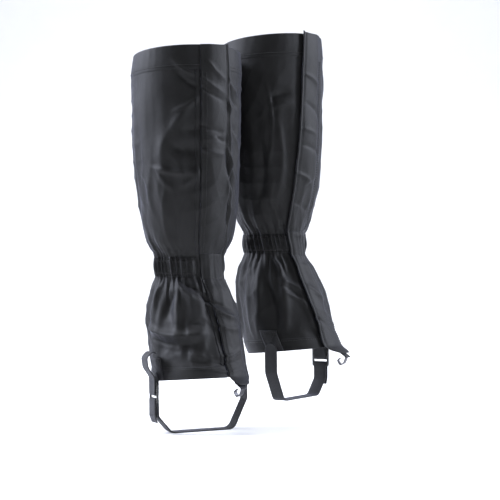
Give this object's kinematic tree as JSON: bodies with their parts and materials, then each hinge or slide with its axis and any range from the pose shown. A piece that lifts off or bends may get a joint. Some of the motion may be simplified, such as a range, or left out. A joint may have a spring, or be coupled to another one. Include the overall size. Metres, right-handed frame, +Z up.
{
  "type": "gaiters",
  "caption": "Pair of knee-high fabric leg gaiters with a front storm flap closed by hook-and-loop tape, elastic waists, buckled under-boot straps and lace hooks.",
  "frame": {"origin": "middle of the bounding box in X and Y, at the underside of the right instep strap", "axes": "+Z up the legs; the toes point to -Y, each turned out 15 degrees; the right gaiter is at -X and the left at +X, 30 mm higher, as on a raised foothold"},
  "size_m": [0.3304, 0.1929, 0.538],
  "materials": {
    "shell_fabric": "satin",
    "hem_fabric": "satin",
    "seam_tape": "matte",
    "elastic": "matte",
    "loop_tape": "matte",
    "hook_tape": "matte",
    "webbing": "satin",
    "buckle_plastic": "satin",
    "hook_steel": "satin",
    "rivet_steel": "polished"
  },
  "bodies": {
    "right_sleeve": {"right_outer_panel": "shell_fabric", "right_inner_panel": "shell_fabric", "right_front_underlap": "shell_fabric", "right_rear_seam_tape": "seam_tape", "right_top_hem_band": "hem_fabric", "right_top_elastic": "elastic", "right_bottom_hem_binding": "hem_fabric", "right_waist_casing": "shell_fabric", "right_waist_elastic": "elastic", "right_flap_seam_low": "shell_fabric", "right_flap_seam_high": "shell_fabric", "right_loop_tape_low": "loop_tape", "right_loop_tape_high": "loop_tape", "right_flap_waist": "shell_fabric", "right_outer_strap_anchor": "webbing", "right_inner_strap_anchor": "webbing"},
    "right_upper_flap": {"right_flap_high": "shell_fabric", "right_hook_tape_high": "hook_tape"},
    "right_lower_flap": {"right_flap_low": "shell_fabric", "right_hook_tape_low": "hook_tape"},
    "right_hook": {"right_lace_hook_tab": "webbing", "right_lace_hook": "hook_steel", "right_lace_hook_rivet": "rivet_steel"},
    "right_strap": {"right_instep_strap": "webbing", "right_adjuster_strap": "webbing", "right_strap_tail": "webbing", "right_buckle": "buckle_plastic"},
    "left_sleeve": {"left_outer_panel": "shell_fabric", "left_inner_panel": "shell_fabric", "left_front_underlap": "shell_fabric", "left_rear_seam_tape": "seam_tape", "left_top_hem_band": "hem_fabric", "left_top_elastic": "elastic", "left_bottom_hem_binding": "hem_fabric", "left_waist_casing": "shell_fabric", "left_waist_elastic": "elastic", "left_flap_seam_low": "shell_fabric", "left_flap_seam_high": "shell_fabric", "left_loop_tape_low": "loop_tape", "left_loop_tape_high": "loop_tape", "left_flap_waist": "shell_fabric", "left_outer_strap_anchor": "webbing", "left_inner_strap_anchor": "webbing"},
    "left_upper_flap": {"left_flap_high": "shell_fabric", "left_hook_tape_high": "hook_tape"},
    "left_lower_flap": {"left_flap_low": "shell_fabric", "left_hook_tape_low": "hook_tape"},
    "left_hook": {"left_lace_hook_tab": "webbing", "left_lace_hook": "hook_steel", "left_lace_hook_rivet": "rivet_steel"},
    "left_strap": {"left_instep_strap": "webbing", "left_adjuster_strap": "webbing", "left_strap_tail": "webbing", "left_buckle": "buckle_plastic"}
  },
  "joints": [
    {"name": "pair_spread", "type": "slide", "parent": "right_sleeve", "child": "left_sleeve", "axis": [1, 0, 0], "range_m": [0, 0.3]},
    {"name": "right_upper_flap_hinge", "type": "hinge", "parent": "right_sleeve", "child": "right_upper_flap", "pos_m": [-0.10077, -0.03527, 0.2375], "axis": [0.0387, 0.0779, -0.9962], "range_deg": [0, 130]},
    {"name": "right_lower_flap_hinge", "type": "hinge", "parent": "right_sleeve", "child": "right_lower_flap", "pos_m": [-0.08947, -0.08021, 0.07772], "axis": [-0.003, -0.3867, -0.9222], "range_deg": [0, 115]},
    {"name": "right_lace_hook_swing", "type": "hinge", "parent": "right_lower_flap", "child": "right_hook", "pos_m": [-0.07803, -0.08014, 0.06802], "axis": [0.9848, 0.1736, 0], "range_deg": [0, 60]},
    {"name": "right_strap_swing", "type": "hinge", "parent": "right_sleeve", "child": "right_strap", "pos_m": [-0.0858, -0.0132, 0.07], "axis": [-0.9659, 0.2588, 0], "range_deg": [-35, 35]},
    {"name": "left_upper_flap_hinge", "type": "hinge", "parent": "left_sleeve", "child": "left_upper_flap", "pos_m": [0.10547, -0.03317, 0.2675], "axis": [0.0406, -0.0762, 0.9963], "range_deg": [0, 130]},
    {"name": "left_lower_flap_hinge", "type": "hinge", "parent": "left_sleeve", "child": "left_lower_flap", "pos_m": [0.12611, -0.06636, 0.10745], "axis": [-0.1292, 0.3532, 0.9266], "range_deg": [0, 115]},
    {"name": "left_lace_hook_swing", "type": "hinge", "parent": "left_lower_flap", "child": "left_hook", "pos_m": [0.10708, -0.08112, 0.09802], "axis": [0.9511, 0.309, 0], "range_deg": [0, 60]},
    {"name": "left_strap_swing", "type": "hinge", "parent": "left_sleeve", "child": "left_strap", "pos_m": [0.0858, -0.0132, 0.1], "axis": [-0.9659, -0.2588, 0], "range_deg": [-35, 35]}
  ]
}
